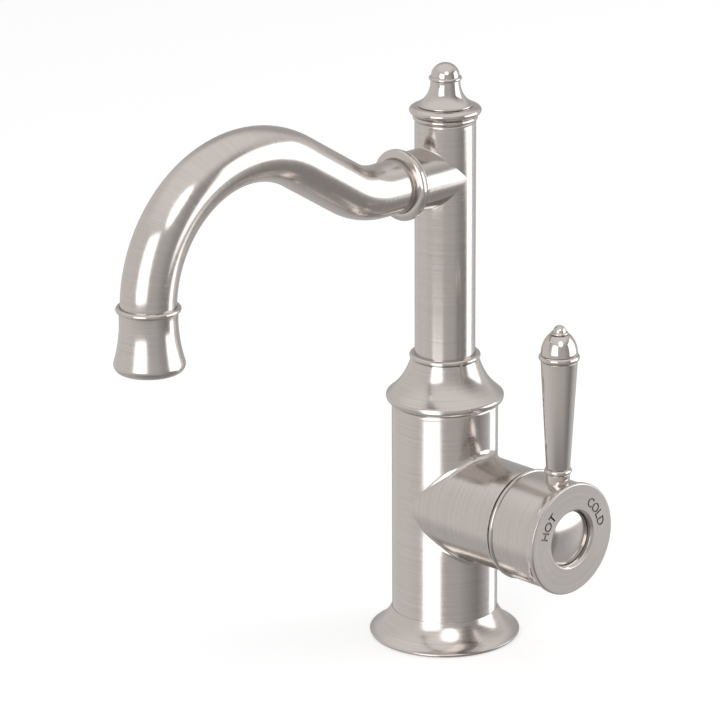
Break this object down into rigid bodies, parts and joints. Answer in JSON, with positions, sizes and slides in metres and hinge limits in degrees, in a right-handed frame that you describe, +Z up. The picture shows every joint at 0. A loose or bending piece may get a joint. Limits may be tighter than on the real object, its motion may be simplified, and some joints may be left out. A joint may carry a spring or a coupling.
{
  "type": "basin mixer tap",
  "caption": "Single-lever basin mixer tap with a turned upright column, finial, swivelling arched spout with a flared outlet, and a tapered lever on a side hub.",
  "frame": {"origin": "on the axis of the upright body, in the plane of the deck it stands on, at the mouth of the recess for the hoses", "axes": "+Z up along the body and the column; -Y from the column along the spout towards the user; +X from the body along the lever's housing and hub"},
  "size_m": [0.1048, 0.2066, 0.2468],
  "materials": {
    "nickel": "brushed nickel plate on brass",
    "brass": "machined brass",
    "stainless": "plain stainless steel",
    "white_plastic": "moulded",
    "grey_plastic": "moulded",
    "ceramic": "lapped ceramic",
    "seal": "moulded rubber"
  },
  "bodies": {
    "body": {"base_flange": "nickel", "base_seal": "seal", "body": "nickel", "shoulder_collar": "nickel", "lower_thrust_washer": "white_plastic", "upper_thrust_washer": "white_plastic", "cartridge_housing": "white_plastic", "port_seals": "seal", "fixed_disc": "ceramic", "cartridge_nut": "brass", "dome_trim": "nickel"},
    "spout": {"swivel_spigot": "brass", "swivel_o_rings": "seal", "column": "nickel", "column_cap": "nickel", "cap_o_ring": "seal", "finial": "nickel", "union_ring": "nickel", "spout_nipple": "brass", "nipple_o_ring": "seal", "spout_tube": "nickel", "outlet_bell": "nickel", "aerator_washer": "seal", "aerator_housing": "nickel", "aerator_insert": "grey_plastic", "aerator_mesh": "stainless"},
    "turret": {"turret": "white_plastic", "stem_pin": "stainless"},
    "handle": {"stem": "brass", "handle_hub": "nickel", "hub_screw": "stainless", "index_button": "nickel", "button_o_ring": "seal", "lever_stud": "stainless", "lever_grip": "nickel", "lever_cap": "nickel"},
    "disc": {"moving_disc": "ceramic", "disc_carrier": "grey_plastic"}
  },
  "joints": [
    {"name": "spout_swivel", "type": "hinge", "parent": "body", "child": "spout", "pos_m": [0, 0, 0.1], "axis": [0, 0, 1], "continuous": true},
    {"name": "temperature", "type": "hinge", "parent": "body", "child": "turret", "pos_m": [0.03005, 0, 0.0608], "axis": [1, 0, 0], "range_deg": [-45, 45]},
    {"name": "flow_tilt", "type": "hinge", "parent": "turret", "child": "handle", "pos_m": [0.03005, 0, 0.0608], "axis": [0, 1, 0], "range_deg": [0, 20]},
    {"name": "disc_slide", "type": "slide", "parent": "turret", "child": "disc", "axis": [0, 0, 1], "range_m": [0, 0.0028]}
  ],
  "couplings": [
    {"joint": "disc_slide", "follows": "flow_tilt", "m_per_rad": 0.008}
  ]
}
